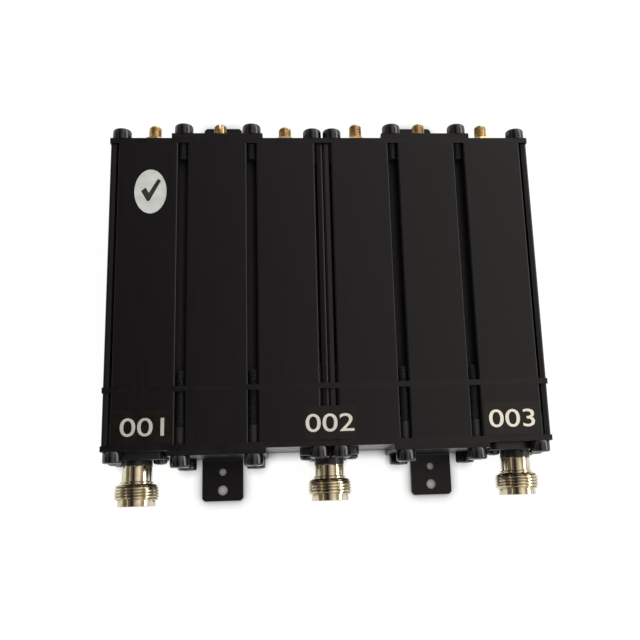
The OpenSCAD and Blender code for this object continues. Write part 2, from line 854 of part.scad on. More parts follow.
// Slit spring contact, with a thinner tail that reaches the feed line
module port_contact(x) {
    r = contact_d / 2;
    tip = port_reach - contact_set_back;
    back = -plate_t - insulator_tail;
    tail = -plate_t - feed_in + feed_d / 2;
    color(brass)
        out_of_ports(x, port_z)
            difference() {
                rotate_extrude()
                    polygon([
                        [0, tail], [tail_d / 2, tail], [tail_d / 2, back], [r, back],
                        [r, tip], [contact_bore_d / 2, tip],
                        [contact_bore_d / 2, tip - contact_bore_l], [0, tip - contact_bore_l]
                    ]);
                for (turn = [45, 135])
                    rotate([0, 0, turn])
                        translate([-contact_d, -contact_slit_w / 2, tip - contact_slit_l])
                            cube([2 * contact_d, contact_slit_w, contact_slit_l + past]);
            }
}

// Low pan heads, with the shanks ending level with the inside of the plate
module flange_screws() {
    r = flange_screw_d / 2;
    head_r = flange_head_d / 2;
    crown = flange_head_h / 2;
    color(dark_steel)
        for (x = port_offsets, side = [-1, 1])
            out_of_ports(x + side * flange_span / 2, port_z, flange_t)
                rotate_extrude()
                    polygon([
                        [0, -flange_t - plate_t], [r, -flange_t - plate_t], [r, 0],
                        [head_r, 0], [head_r, crown],
                        [head_r - crown / 2, flange_head_h], [0, flange_head_h]
                    ]);
}

module port_label(x, w) {
    color(film)
        translate([x, port_face_y + label_in, body_depth])
            linear_extrude(height = label_t)
                round_rect(w, label_h, label_corner_r);
}

module oval_sticker() {
    color(silver)
        translate([cavity_x(1) + oval_shift, tuning_face_y - oval_in, body_depth])
            linear_extrude(height = label_t)
                polygon([for (a = [0 : 6 : 354]) [oval_w / 2 * cos(a), oval_h / 2 * sin(a)]]);
}

cavity_block(-1);  // cavity_block_low
cavity_block(1);  // cavity_block_high
coupling_block(-1);  // coupling_block_low
coupling_block(1);  // coupling_block_high
tuning_end_plate();
partition_plate();
connector_end_plate();
tuning_bracket(-1);  // tuning_bracket_low
tuning_bracket(1);  // tuning_bracket_high
port_bracket(-1);  // port_bracket_low
port_bracket(1);  // port_bracket_high
tuning_end_screws();
port_end_screws();
resonator_screws();
for (i = [1 : 6]) {
    resonator(i);
    tuner_sleeve(i);
    tuning_screw(i);
    coupling_loop(i);
}
tuner_bushes();
lock_nuts();
feed_bushes();
feed_line(-1);  // feed_line_low
feed_line(1);  // feed_line_high
line_supports();
port_body(-port_offset);  // port_body_low
port_body(0);  // port_body_middle
port_body(port_offset);  // port_body_high
port_insulator(-port_offset);  // port_insulator_low
port_insulator(0);  // port_insulator_middle
port_insulator(port_offset);  // port_insulator_high
port_contact(-port_offset);  // port_contact_low
port_contact(0);  // port_contact_middle
port_contact(port_offset);  // port_contact_high
flange_screws();
port_label(cavity_x(1), label_w);  // port_label_1
port_label(0, middle_label_w);  // port_label_2
port_label(cavity_x(6), label_w);  // port_label_3
oval_sticker();
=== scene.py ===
import math

import bmesh
import bpy
from mathutils import Matrix, Vector


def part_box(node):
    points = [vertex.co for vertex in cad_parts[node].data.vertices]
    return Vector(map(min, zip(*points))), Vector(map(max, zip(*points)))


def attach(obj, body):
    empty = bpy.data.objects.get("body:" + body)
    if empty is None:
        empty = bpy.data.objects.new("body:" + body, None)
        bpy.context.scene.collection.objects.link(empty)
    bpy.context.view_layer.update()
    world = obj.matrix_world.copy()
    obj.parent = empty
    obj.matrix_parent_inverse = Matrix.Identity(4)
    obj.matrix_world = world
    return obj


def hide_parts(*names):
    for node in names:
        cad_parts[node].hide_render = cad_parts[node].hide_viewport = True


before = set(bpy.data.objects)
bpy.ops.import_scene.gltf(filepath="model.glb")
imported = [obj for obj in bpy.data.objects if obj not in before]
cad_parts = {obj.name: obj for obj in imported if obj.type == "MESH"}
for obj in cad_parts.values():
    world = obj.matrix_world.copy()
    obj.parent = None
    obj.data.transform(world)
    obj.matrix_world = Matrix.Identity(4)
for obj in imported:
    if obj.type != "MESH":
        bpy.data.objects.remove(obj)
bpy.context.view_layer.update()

# The duplexer lies on its back and is seen from above its port end, a third of a metre up.
# The camera's place and lens are a least squares fit to the edges that the photograph shows.
camera_data = bpy.data.cameras.new("camera")
camera_data.sensor_width = 36
camera_data.lens = 45.8144
camera_data.shift_x = -0.041108
camera_data.shift_y = 0.004720
camera_data.clip_start = 0.01
camera_data.clip_end = 20
camera = bpy.data.objects.new("camera", camera_data)
camera.location = (-0.014570, -0.079963, 0.318957)
camera.rotation_euler = (0.224817, -0.067089, -0.032125)
bpy.context.scene.collection.objects.link(camera)
bpy.context.scene.camera = camera
bpy.context.scene.view_settings.view_transform = "Standard"

# The studio: a white table top under the object, a wide window lamp low on the right, two small
# lamps that only fill the shade, and a room that is dark at the left and bright near the window.
MM = 0.001
table_size = 6
table_gap = 0.05 * MM
table_glow = 0.93
shade_reach = 4 * MM
shade_power = 1.6


def add_mesh_object(name, bm):
    """Makes an object of a finished bmesh, with its place in the mesh"""
    mesh = bpy.data.meshes.new(name)
    bm.to_mesh(mesh)
    bm.free()
    piece = bpy.data.objects.new(name, mesh)
    bpy.context.scene.collection.objects.link(piece)
    return piece


def new_material(name):
    """A node material, with its tree and its shader"""
    material = bpy.data.materials.new(name)
    material.use_nodes = True
    tree = material.node_tree
    return material, tree, tree.nodes["Principled BSDF"]


def math_node(tree, operation, first, second=0):
    """One sum on two sockets or numbers"""
    node = tree.nodes.new("ShaderNodeMath")
    node.operation = operation
    for socket, value in zip(node.inputs, (first, second)):
        if isinstance(value, bpy.types.NodeSocket):
            tree.links.new(value, socket)
        else:
            socket.default_value = value
    return node.outputs["Value"]


def seen_as_white(tree):
    """One for what the camera sees, directly, in a gloss or through glass"""
    path = tree.nodes.new("ShaderNodeLightPath")
    seen = math_node(tree, "MAXIMUM", path.outputs["Is Camera Ray"], path.outputs["Is Glossy Ray"])
    return math_node(tree, "MAXIMUM", seen, path.outputs["Is Transmission Ray"])


def add_shaders(tree, first, second):
    """The light of two shaders together"""
    both = tree.nodes.new("ShaderNodeAddShader")
    tree.links.new(first.outputs[0], both.inputs[0])
    tree.links.new(second.outputs[0], both.inputs[1])
    return both.outputs["Shader"]


def table_material():
    """White laminate that glows a little where it is seen, with a painted shadow that dims the glow
    close under the object
    """
    material, tree, shader = new_material("table_white")
    shader.inputs["Base Color"].default_value = (0.8, 0.8, 0.8, 1)
    shader.inputs["Roughness"].default_value = 0.9
    shader.inputs["Specular IOR Level"].default_value = 0.1
    # Painted shadow: the glow fades where the object shelters the table.
    shelter = tree.nodes.new("ShaderNodeAmbientOcclusion")
    shelter.inputs["Distance"].default_value = shade_reach
    shelter.samples = 8
    openness = math_node(tree, "POWER", shelter.outputs["AO"], shade_power)
    glow = tree.nodes.new("ShaderNodeEmission")
    glow.inputs["Color"].default_value = (1, 1, 1, 1)
    tree.links.new(math_node(tree, "MULTIPLY", openness, table_glow), glow.inputs["Strength"])
    dim = tree.nodes.new("ShaderNodeBsdfDiffuse")
    dim.inputs["Color"].default_value = (0.13, 0.13, 0.13, 1)
    mix = tree.nodes.new("ShaderNodeMixShader")
    tree.links.new(seen_as_white(tree), mix.inputs["Fac"])
    tree.links.new(shader.outputs["BSDF"], mix.inputs[1])
    tree.links.new(add_shaders(tree, glow, dim), mix.inputs[2])
    tree.links.new(mix.outputs["Shader"], tree.nodes["Material Output"].inputs["Surface"])
    return material


bm = bmesh.new()
bmesh.ops.create_grid(bm, x_segments=4, y_segments=4, size=table_size / 2)
bmesh.ops.translate(bm, verts=bm.verts, vec=(0, 0, -table_gap))
table = add_mesh_object("table", bm)
table.data.materials.append(table_material())

# How far to the right a direction points, from -1 to 1, and the room's colour there.
room_bands = (
    (-1.00, (0.32, 0.31, 0.29)), (-0.97, (0.16, 0.145, 0.125)), (-0.88, (0.18, 0.16, 0.135)),
    (-0.75, (0.20, 0.17, 0.135)), (-0.73, (1.05, 0.97, 0.84)), (-0.69, (1.05, 0.97, 0.84)),
    (-0.67, (0.20, 0.165, 0.13)), (-0.50, (0.14, 0.12, 0.10)), (-0.32, (0.02, 0.02, 0.02)),
    (-0.21, (0.03, 0.03, 0.03)), (0.05, (0.68, 0.64, 0.62)), (0.42, (1.60, 1.48, 1.38)),
    (0.52, (1.15, 1.02, 0.86)), (0.66, (0.40, 0.36, 0.30)), (1.00, (0.32, 0.30, 0.27))
)
low_wall_colour = (0.74, 0.74, 0.73)
far_wall_colour = (1, 0.93, 0.97)
far_wall_glow = 0.25


def axes_of(tree, vector):
    """The X, Y and Z of a direction or a point, by name"""
    parts = tree.nodes.new("ShaderNodeSeparateXYZ")
    tree.links.new(vector, parts.inputs["Vector"])
    return parts.outputs


def grade(tree, value, start, end, low=0, high=1):
    """Goes from low to high as a value goes from start to end, and no further"""
    node = tree.nodes.new("ShaderNodeMapRange")
    node.inputs["From Min"].default_value = start
    node.inputs["From Max"].default_value = end
    node.inputs["To Min"].default_value = low
    node.inputs["To Max"].default_value = high
    tree.links.new(value, node.inputs["Value"])
    return node.outputs["Result"]


def mix_colours(tree, fac, low, high):
    """A colour between two colours or sockets"""
    mix = tree.nodes.new("ShaderNodeMix")
    mix.data_type = "RGBA"
    tree.links.new(fac, mix.inputs["Factor"])
    for socket, value in ((mix.inputs["A"], low), (mix.inputs["B"], high)):
        if isinstance(value, bpy.types.NodeSocket):
            tree.links.new(value, socket)
        else:
            socket.default_value = (*value, 1)
    return mix.outputs["Result"]


def room_world():
    """Bands of light and dark from left to right, a plain pale wall low down and a far wall"""
    world = bpy.data.worlds.new("room")
    world.use_nodes = True
    tree = world.node_tree
    way = axes_of(tree, tree.nodes.new("ShaderNodeTexCoord").outputs["Generated"])
    bands = tree.nodes.new("ShaderNodeValToRGB")
    sideways = math_node(tree, "MULTIPLY", math_node(tree, "ADD", way["X"], 1), 0.5)
    tree.links.new(sideways, bands.inputs["Fac"])
    ramp = bands.color_ramp
    while len(ramp.elements) < len(room_bands):
        ramp.elements.new(0.5)
    for element, (x, colour) in zip(ramp.elements, room_bands):
        element.position = (x + 1) / 2
        element.color = (*colour, 1)
    low_down = grade(tree, way["Z"], start=0.20, end=0.14)
    walls = mix_colours(tree, low_down, bands.outputs["Color"], low_wall_colour)
    brightness = grade(tree, way["Z"], start=0.3, end=0.95, low=1.2, high=0.86)
    room = tree.nodes["Background"]
    tree.links.new(walls, room.inputs["Color"])
    tree.links.new(brightness, room.inputs["Strength"])
    far_glow = grade(tree, way["Y"], start=0.28, end=0.6, high=far_wall_glow)
    far_wall = tree.nodes.new("ShaderNodeBackground")
    far_wall.inputs["Color"].default_value = (*far_wall_colour, 1)
    tree.links.new(far_glow, far_wall.inputs["Strength"])
    tree.links.new(add_shaders(tree, room, far_wall), tree.nodes["World Output"].inputs["Surface"])
    return world


bpy.context.scene.world = room_world()


def add_softbox(name, place, aim, width, height, watts, tint):
    """A flat soft lamp at a place, turned to a point"""
    lamp = bpy.data.lights.new(name, "AREA")
    lamp.shape = "RECTANGLE"
    lamp.size = width
    lamp.size_y = height
    lamp.energy = watts
    lamp.color = tint
    holder = bpy.data.objects.new(name, lamp)
    holder.location = place
    holder.rotation_euler = (Vector(aim) - Vector(place)).to_track_quat("-Z", "Y").to_euler()
    bpy.context.scene.collection.objects.link(holder)
    return holder


add_softbox(
    "window", place=(0.8, 0.2, 0.42), aim=(0, 0.05, 0.01),
    width=1.5, height=0.3, watts=6.4, tint=(1, 0.99, 0.98)
)
wash = add_softbox(
    "wash", place=(0.13, 0, 0.40), aim=(0, 0, 0.01),
    width=0.25, height=0.25, watts=0.3, tint=(1, 0.99, 0.96)
)
left_fill = add_softbox(
    "left_fill", place=(-0.7, -0.55, 0.5), aim=(0, 0, 0.01),
    width=0.35, height=0.35, watts=3, tint=(1, 0.98, 0.95)
)
for lamp in (wash, left_fill):
    lamp.visible_glossy = False
    lamp.visible_camera = False

# Cavity and coupling blocks: lengths of one extruded aluminium section, three cavities each.
# They are sawn, drilled and sprayed satin black, and the spray follows faint draw lines.
ledge_w = 2.25 * MM
ledge_lean = math.radians(6)
# Below the lands the black is painted paler, as light reaching into the channels, and is made
# duller.
painted_fill_start = 1.0 * MM
painted_fill_end = 1.7 * MM
painted_fill_black = (0.013, 0.012, 0.0145)
channel_dullness = 0.35


def point_on_piece(tree):
    """Where a point of the piece lies"""
    return tree.nodes.new("ShaderNodeTexCoord").outputs["Object"]


def noise_node(tree, scale, detail, stretch=(1, 1, 1)):
    """Noise over the piece, with its place scaled along each axis"""
    spread = tree.nodes.new("ShaderNodeMapping")
    spread.inputs["Scale"].default_value = stretch
    tree.links.new(point_on_piece(tree), spread.inputs["Vector"])
    noise = tree.nodes.new("ShaderNodeTexNoise")
    noise.inputs["Scale"].default_value = scale
    noise.inputs["Detail"].default_value = detail
    tree.links.new(spread.outputs["Vector"], noise.inputs["Vector"])
    return noise.outputs["Fac"]


def spread_value(tree, noise, low, high):
    """Noise, most of which lies from 0.3 to 0.7, turned into values between two ends"""
    return grade(tree, noise, 0.3, 0.7, low, high)


def add_bump(tree, target, height, depth):
    """Raises the surface of a shader, or under another bump, by up to the given depth"""
    bump = tree.nodes.new("ShaderNodeBump")
    bump.inputs["Distance"].default_value = depth
    tree.links.new(height, bump.inputs["Height"])
    tree.links.new(bump.outputs["Normal"], target.inputs["Normal"])


def feed_of(shader, name):
    """What is linked to one of the shader's inputs"""
    return shader.inputs[name].links[0].from_socket


def paint_material(name, dark, light, gloss_low, gloss_high, stretch):
    """Satin black paint: a slight mottle, fine orange peel and an uneven gloss"""
    material, tree, shader = new_material(name)
    shader.inputs["Specular IOR Level"].default_value = 0.27
    mottle = noise_node(tree, scale=140, detail=4, stretch=stretch)
    grain = noise_node(tree, scale=2600, detail=2)
    colour = mix_colours(tree, spread_value(tree, mottle, 0, 1), dark, light)
    tree.links.new(colour, shader.inputs["Base Color"])
    tree.links.new(spread_value(tree, mottle, gloss_low, gloss_high), shader.inputs["Roughness"])
    add_bump(tree, shader, grain, 0.012 * MM)
    return material


def finish_the_section(material, top_z, block_middle, ledge_start):
    """Below the lands the paint is paler, a painted light standing in for light that reaches the
    channels, and duller; the ledges lean inwards
    """
    tree = material.node_tree
    shader = tree.nodes["Principled BSDF"]
    place = axes_of(tree, point_on_piece(tree))
    # Painted light: paler paint below the lands stands in for light that reaches the channels.
    painted_fill_mask = grade(tree, place["Z"], top_z - painted_fill_start, top_z - painted_fill_end)
    painted_fill_colour = mix_colours(tree, painted_fill_mask, feed_of(shader, "Base Color"), painted_fill_black)
    tree.links.new(painted_fill_colour, shader.inputs["Base Color"])
    dull = math_node(tree, "MULTIPLY", painted_fill_mask, channel_dullness)
    dull = math_node(tree, "ADD", feed_of(shader, "Roughness"), dull)
    tree.links.new(dull, shader.inputs["Roughness"])
    across = math_node(tree, "ABSOLUTE", place["X"])
    aside = math_node(tree, "ABSOLUTE", math_node(tree, "SUBTRACT", across, block_middle))
    beyond = math_node(tree, "MAXIMUM", math_node(tree, "SUBTRACT", aside, ledge_start), 0)
    peel = feed_of(shader, "Normal").node
    add_bump(tree, peel, beyond, math.tan(ledge_lean))


block_paint = paint_material(
    "block_paint", dark=(0.0025, 0.0019, 0.0025), light=(0.0036, 0.0028, 0.0034),
    gloss_low=0.30, gloss_high=0.34, stretch=(6, 0.35, 6)
)
low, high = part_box("cavity_block_high")
half_block_w = (high.x - low.x) / 2
finish_the_section(block_paint, high.z, half_block_w, half_block_w - ledge_w)


def dress(node, material):
    """Gives a node of the frame its finish"""
    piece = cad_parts[node]
    piece.data.materials.clear()
    piece.data.materials.append(material)


for node in ("cavity_block_low", "cavity_block_high", "coupling_block_low", "coupling_block_high"):
    dress(node, block_paint)

# The end plates and the partition: 2 mm aluminium, cut and drilled, sprayed with the blocks.
# The brackets: folded 2 mm steel, each with a relief notch on both sides of its tab.
sheet_t = 2 * MM
plate_ease = 0.12 * MM
bracket_ease = 0.22 * MM
plate_paint = paint_material(
    "plate_paint", dark=(0.0026, 0.0021, 0.0027), light=(0.0048, 0.0040, 0.0047),
    gloss_low=0.28, gloss_high=0.40, stretch=(2, 2, 2)
)


def soften(bm, degrees):
    """Shades smooth all but the edges that turn by more than an angle"""
    for face in bm.faces:
        face.smooth = True
    for edge in bm.edges:
        edge.smooth = edge.is_manifold and edge.calc_face_angle(0) < math.radians(degrees)


def eased_copy(node, radius, material):
    """A sheet piece with its cut edges eased, as the paint rounds them"""
    flat_turn, cut_turn = math.radians(0.5), math.radians(50)
    bm = bmesh.new()
    bm.from_mesh(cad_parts[node].data)
    # The normals that the solid brings along no longer fit once its edges are eased.
    for layer in list(bm.loops.layers.float_vector.values()):
        bm.loops.layers.float_vector.remove(layer)
    bmesh.ops.remove_doubles(bm, verts=bm.verts, dist=0.001 * MM)
    bmesh.ops.dissolve_limit(
        bm, angle_limit=flat_turn, verts=bm.verts, edges=bm.edges, delimit={"SHARP"}
    )
    cut_edges = [
        edge for edge in bm.edges
        if edge.is_manifold and edge.calc_face_angle() > cut_turn
    ]
    bmesh.ops.bevel(
        bm, geom=cut_edges, offset=radius, offset_type="OFFSET", segments=2,
        profile=0.5, affect="EDGES", material=-1, clamp_overlap=True
    )
    soften(bm, 20)
    piece = add_mesh_object(node + "_eased", bm)
    piece.data.materials.append(material)
    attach(piece, "housing")
    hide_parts(node)


for node in ("tuning_end_plate", "partition_plate", "connector_end_plate"):
    eased_copy(node, plate_ease, plate_paint)
for node in ("tuning_bracket_low", "tuning_bracket_high", "port_bracket_low", "port_bracket_high"):
    eased_copy(node, bracket_ease, plate_paint)

# Socket cap screws, M4, blackened steel: sixteen at each end, the short ones at the tuning end.
# A head is turned smooth and pressed with a hexagon, and the thread is rolled.
HALF_TURN = math.pi
weld_gap = 0.0005 * MM
cavity_pitch = 25.7 * MM
wall_to_screw = 3.8 * MM
screw_columns = (
    wall_to_screw - half_block_w, -cavity_pitch / 2, cavity_pitch / 2, half_block_w - wall_to_screw
)
screw_rows = (5.6 * MM, 27.13 * MM)
port_face_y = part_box("connector_end_plate")[0].y
tuning_face_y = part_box("tuning_end_plate")[1].y
shank_dullness = 0.7


def spin_profile(bm, points, sides, closed=False):
    """Turns a profile of (radius, height) points once round the Z axis"""
    verts = [bm.verts.new((radius, 0, height)) for radius, height in points]
    pairs = list(zip(verts, verts[1:]))
    if closed:
        pairs.append((verts[-1], verts[0]))
    edges = [bm.edges.new(pair) for pair in pairs]
    bmesh.ops.spin(
        bm, geom=verts + edges, cent=(0, 0, 0), axis=(0, 0, 1), dvec=(0, 0, 0),
        angle=2 * HALF_TURN, steps=sides, use_merge=True, use_normal_flip=False
    )
    bmesh.ops.remove_doubles(bm, verts=bm.verts, dist=weld_gap)
    bmesh.ops.recalc_face_normals(bm, faces=bm.faces)


def fill_in(points, step):
    """Adds points along a profile, no further apart than a step"""
    filled = [points[0]]
    for start, end in zip(points, points[1:]):
        gaps = max(1, math.ceil(math.dist(start, end) / step))
        for k in range(1, gaps + 1):
            share = k / gaps
            filled.append(tuple(a + (b - a) * share for a, b in zip(start, end)))
    return filled


def cut_thread(bm, radius, pitch, depth, low, high, crest=0.12, root=0.16):
    """Cuts a right-hand thread, with its crest and its root each a share of the pitch wide"""
    for vert in bm.verts:
        x, y, z = vert.co
        reach = math.hypot(x, y)
        if low <= z <= high and reach > radius - 1.5 * depth:
            across = abs(2 * ((z / pitch - math.atan2(y, x) / (2 * HALF_TURN)) % 1) - 1)
            flank = min(1, max(0, (across - crest) / (1 - root - crest)))
            limit = radius - depth * flank
            if reach > limit:
                vert.co.x *= limit / reach
                vert.co.y *= limit / reach


def place_copies(bm, mesh, places):
    """Adds a copy of a mesh at each place"""
    for place in places:
        start = len(bm.verts)
        bm.from_mesh(mesh)
        bm.verts.ensure_lookup_table()
        bmesh.ops.transform(bm, matrix=place, verts=bm.verts[start:])


def cap_screw_mesh(length, thread_length):
    """One cap screw along the Z axis, its head up from zero"""
    head_r, head_h, edge_r = 3.5 * MM, 4 * MM, 0.75 * MM
    under_r, under_h = 0.25 * MM, 0.35 * MM
    key_r, key_depth, key_point, key_lip = 1.5 * MM, 2 * MM, 0.4 * MM, 0.15 * MM
    shank_r, pitch, thread_depth, tip = 2 * MM, 0.7 * MM, 0.43 * MM, 0.45 * MM
    rounded_edge = [
        (head_r - edge_r + edge_r * math.sin(a), head_h - edge_r + edge_r * math.cos(a))
        for a in (math.radians(d) for d in (15, 35, 55, 75, 90))
    ]
    bm = bmesh.new()
    spin_profile(bm, [
        (0, head_h - key_depth - key_point), (key_r, head_h - key_depth),
        (key_r, head_h - key_lip), (key_r + key_lip, head_h),
        (head_r - edge_r, head_h), *rounded_edge,
        (head_r, under_h), (head_r - under_r, 0), (0, 0)
    ], sides=48)
    for vert in bm.verts:
        if 0 < vert.co.xy.length < key_r + 2 * key_lip:
            turn = math.atan2(vert.co.y, vert.co.x)
            sixth = (turn + HALF_TURN / 6) % (HALF_TURN / 3) - HALF_TURN / 6
            vert.co.x /= math.cos(sixth)
            vert.co.y /= math.cos(sixth)
    thread_top = thread_length - length
    shank = bmesh.new()
    spin_profile(shank, fill_in([
        (0, -length), (shank_r - tip, -length), (shank_r, tip - length),
        (shank_r, min(thread_top, -0.01 * MM))
    ], pitch / 4) + [(shank_r, 0), (0, 0)], sides=20)
    cut_thread(shank, shank_r, pitch, thread_depth, -length, min(thread_top, -0.3 * MM))
    mesh = bpy.data.meshes.new("shank")
    shank.to_mesh(mesh)
    shank.free()
    bm.from_mesh(mesh)
    bpy.data.meshes.remove(mesh)
    soften(bm, 42)
    mesh = bpy.data.meshes.new("cap_screw")
    bm.to_mesh(mesh)
    bm.free()
    return mesh


def within(tree, value, middle, reach):
    """One where a value is no further than a reach from a middle, and zero elsewhere"""
    inside = math_node(tree, "COMPARE", value, middle)
    inside.node.inputs[2].default_value = reach
    return inside


def dull_the_shanks(material):
    """Bright heads outside the end plates, and dusty shanks between them"""
    tree = material.node_tree
    shader = tree.nodes["Principled BSDF"]
    shader.inputs["Specular IOR Level"].default_value = 0.6
    place = axes_of(tree, point_on_piece(tree))
    middle_y = (port_face_y + tuning_face_y) / 2
    inside = within(tree, place["Y"], middle_y, tuning_face_y - middle_y)
    dull = math_node(tree, "MULTIPLY", inside, shank_dullness)
    dull = math_node(tree, "MAXIMUM", feed_of(shader, "Roughness"), dull)
    tree.links.new(dull, shader.inputs["Roughness"])


def screw_places(face_y, outwards):
    """Where the sixteen cap screws of one end seat, each with its own turn"""
    places = []
    for side in (-1, 1):
        for number, column in enumerate(screw_columns):
            on_bracket = number in (1, 2)
            seat = sheet_t if on_bracket else 0
            for row in screw_rows:
                spot = Vector((side * half_block_w + column, face_y + outwards * seat, row))
                upright = Matrix.Rotation(-outwards * HALF_TURN / 2, 4, "X")
                turn = Matrix.Rotation(0.7 * len(places) ** 1.5, 4, "Z")
                places.append(Matrix.Translation(spot) @ upright @ turn)
    return places


black_steel = paint_material(
    "black_steel", dark=(0.0016, 0.0018, 0.0030), light=(0.0036, 0.0038, 0.0056),
    gloss_low=0.15, gloss_high=0.24, stretch=(3, 3, 3)
)
dull_the_shanks(black_steel)
for node, face_y, outwards, length, thread_length in (
    ("tuning_end_screws", tuning_face_y, 1, 10 * MM, 10 * MM),
    ("port_end_screws", port_face_y, -1, 30 * MM, 20 * MM)
):
    bm = bmesh.new()
    place_copies(bm, cap_screw_mesh(length, thread_length), screw_places(face_y, outwards))
    piece = add_mesh_object(node + "_turned", bm)
    piece.data.materials.append(black_steel)
    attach(piece, "housing")
    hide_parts(node)


# Resonators: drawn brass tubes. Inside with them are plain screws, silver plated wire loops
# and feed lines, and turned white plastic bushes and supports.
def metal_material(name, dark, light, gloss_low, gloss_high, patch_scale):
    """Bare or plated metal: tarnish in soft patches, fine turning marks and an uneven gloss"""
    material, tree, shader = new_material(name)
    shader.inputs["Metallic"].default_value = 1
    patches = noise_node(tree, scale=patch_scale, detail=5)
    marks = noise_node(tree, scale=900, detail=2, stretch=(0.15, 6, 0.15))
    colour = mix_colours(tree, spread_value(tree, patches, 0, 1), dark, light)
    tree.links.new(colour, shader.inputs["Base Color"])
    tree.links.new(spread_value(tree, patches, gloss_high, gloss_low), shader.inputs["Roughness"])
    add_bump(tree, shader, marks, 0.004 * MM)
    return material


def plastic_material(name, dark, light, gloss):
    """Turned or moulded plastic, a little cloudy"""
    material, tree, shader = new_material(name)
    shader.inputs["Roughness"].default_value = gloss
    cloud = noise_node(tree, scale=300, detail=3)
    colour = mix_colours(tree, spread_value(tree, cloud, 0, 1), dark, light)
    tree.links.new(colour, shader.inputs["Base Color"])
    add_bump(tree, shader, noise_node(tree, scale=1800, detail=2), 0.006 * MM)
    return material


tube_brass = metal_material(
    "tube_brass", dark=(0.42, 0.30, 0.13), light=(0.62, 0.46, 0.22),
    gloss_low=0.25, gloss_high=0.4, patch_scale=90
)
silver_wire = metal_material(
    "silver_wire", dark=(0.55, 0.53, 0.48), light=(0.8, 0.79, 0.76),
    gloss_low=0.2, gloss_high=0.35, patch_scale=200
)
white_plastic = plastic_material(
    "white_plastic", dark=(0.74, 0.73, 0.69), light=(0.84, 0.83, 0.79), gloss=0.4
)
for number in range(1, 7):
    dress(f"resonator_{number}", tube_brass)
    dress(f"coupling_loop_{number}", silver_wire)
    dress(f"tuner_sleeve_{number}", white_plastic)
for node in ("feed_line_low", "feed_line_high"):
    dress(node, silver_wire)
for node in ("feed_bushes", "line_supports"):
    dress(node, white_plastic)
dress("resonator_screws", black_steel)

# Tuning screws, M5, turned brass with a driver slot: their bushes and lock nuts are brass too.
# A bare journal and a collar at the foot carry the white sleeve in the resonator.
slot_degrees = (34, 92, 48, 57, 58, 77)
tuner_brass = metal_material(
    "tuner_brass", dark=(0.52, 0.37, 0.20), light=(0.82, 0.64, 0.36),
    gloss_low=0.26, gloss_high=0.42, patch_scale=420
)


def carve(piece, cutters, operation):
    """Cuts shapes from a piece, or joins them to it, and leaves one finished bare mesh"""
    for cutter in cutters:
        cut = piece.modifiers.new("cut", "BOOLEAN")
        cut.operation = operation
        cut.solver = "EXACT"
        cut.object = cutter
    graph = bpy.context.evaluated_depsgraph_get()
    mesh = bpy.data.meshes.new_from_object(piece.evaluated_get(graph))
    piece.modifiers.clear()
    piece.data = mesh
    piece.data.materials.clear()
    for cutter in cutters:
        bpy.data.objects.remove(cutter)


def resoften(piece, degrees):
    """Shades a finished mesh smooth between its sharp edges"""
    bm = bmesh.new()
    bm.from_mesh(piece.data)
    bmesh.ops.remove_doubles(bm, verts=bm.verts, dist=weld_gap)
    soften(bm, degrees)
    bm.to_mesh(piece.data)
    bm.free()


def tuning_screw(number, degrees):
    """One tuning screw, threaded from its shoulder to its slotted tip"""
    node = f"tuning_screw_{number}"
    low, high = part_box(node)
    length = high.y - low.y
    radius, pitch, thread_depth, chamfer = 2.5 * MM, 0.8 * MM, 0.47 * MM, 0.8 * MM
    collar_t, journal_r, journal_l = 1 * MM, 1.8 * MM, 10 * MM
    shoulder = collar_t + journal_l
    slot_w, slot_depth = 1 * MM, 2.2 * MM
    bm = bmesh.new()
    spin_profile(bm, [
        (0, 0), (radius, 0), (radius, collar_t), (journal_r, collar_t), (journal_r, shoulder)
    ] + fill_in([
        (radius, shoulder), (radius, length - chamfer), (radius - chamfer, length)
    ], pitch / 6) + [(0, length)], sides=36)
    cut_thread(bm, radius, pitch, thread_depth, shoulder + 0.01 * MM, length)
    place = Matrix.Translation(Vector(((low.x + high.x) / 2, low.y, (low.z + high.z) / 2)))
    place @= Matrix.Rotation(-HALF_TURN / 2, 4, "X")
    place @= Matrix.Rotation(math.radians(-degrees), 4, "Z")
    bmesh.ops.transform(bm, matrix=place, verts=bm.verts)
    piece = add_mesh_object(node + "_threaded", bm)
    bm = bmesh.new()
    bmesh.ops.create_cube(bm, size=1)
    bmesh.ops.scale(bm, verts=bm.verts, vec=(4 * radius, slot_w, 2 * slot_depth))
    bmesh.ops.translate(bm, verts=bm.verts, vec=(0, 0, length))
    bmesh.ops.transform(bm, matrix=place, verts=bm.verts)
    carve(piece, [add_mesh_object("slot_cutter", bm)], "DIFFERENCE")
    resoften(piece, 40)
    piece.data.materials.append(tuner_brass)
    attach(piece, f"screw_{number}")
    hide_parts(node)


for number, degrees in enumerate(slot_degrees, 1):
    tuning_screw(number, degrees)
dress("tuner_bushes", tuner_brass)
dress("lock_nuts", tuner_brass)

# Ports: type N sockets, turned and nickel plated, each with a flange that two screws hold.
# They were sprayed with the housing, so the flange and the first of the neck are black.
port_sides = ("low", "middle", "high")
port_x = tuple(sum(corner.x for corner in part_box(f"port_body_{side}")) / 2 for side in port_sides)
port_z = (screw_rows[0] + screw_rows[1]) / 2
port_reach = 18.75 * MM
painted_lengths = (4.7 * MM, 6.0 * MM, 5.45 * MM)
flange_w, flange_h, flange_t, flange_corner_r = 21.4 * MM, 14.2 * MM, 2.6 * MM, 2.6 * MM
flange_span = 16.3 * MM
neck_r, step_r, relief_r, rim_r = 5.4 * MM, 6 * MM, 5.6 * MM, 6.7 * MM
spigot_r, bore_r = 4.4 * MM, 3.55 * MM
mouth_r, mouth_floor = 4.05 * MM, 9.65 * MM
thread_r, thread_start, thread_end = 7.9375 * MM, 10.85 * MM, 16.5 * MM
# Where the thread roots are darkened: grime, and painted shade deep in the roots.
grime_and_shade_start, grime_and_shade_end = 11.2 * MM, 16 * MM
root_grime_and_shade = (0.24, 0.19, 0.13)
neck_paint = (0.004, 0.004, 0.005)
neck_paint_gloss = 0.38


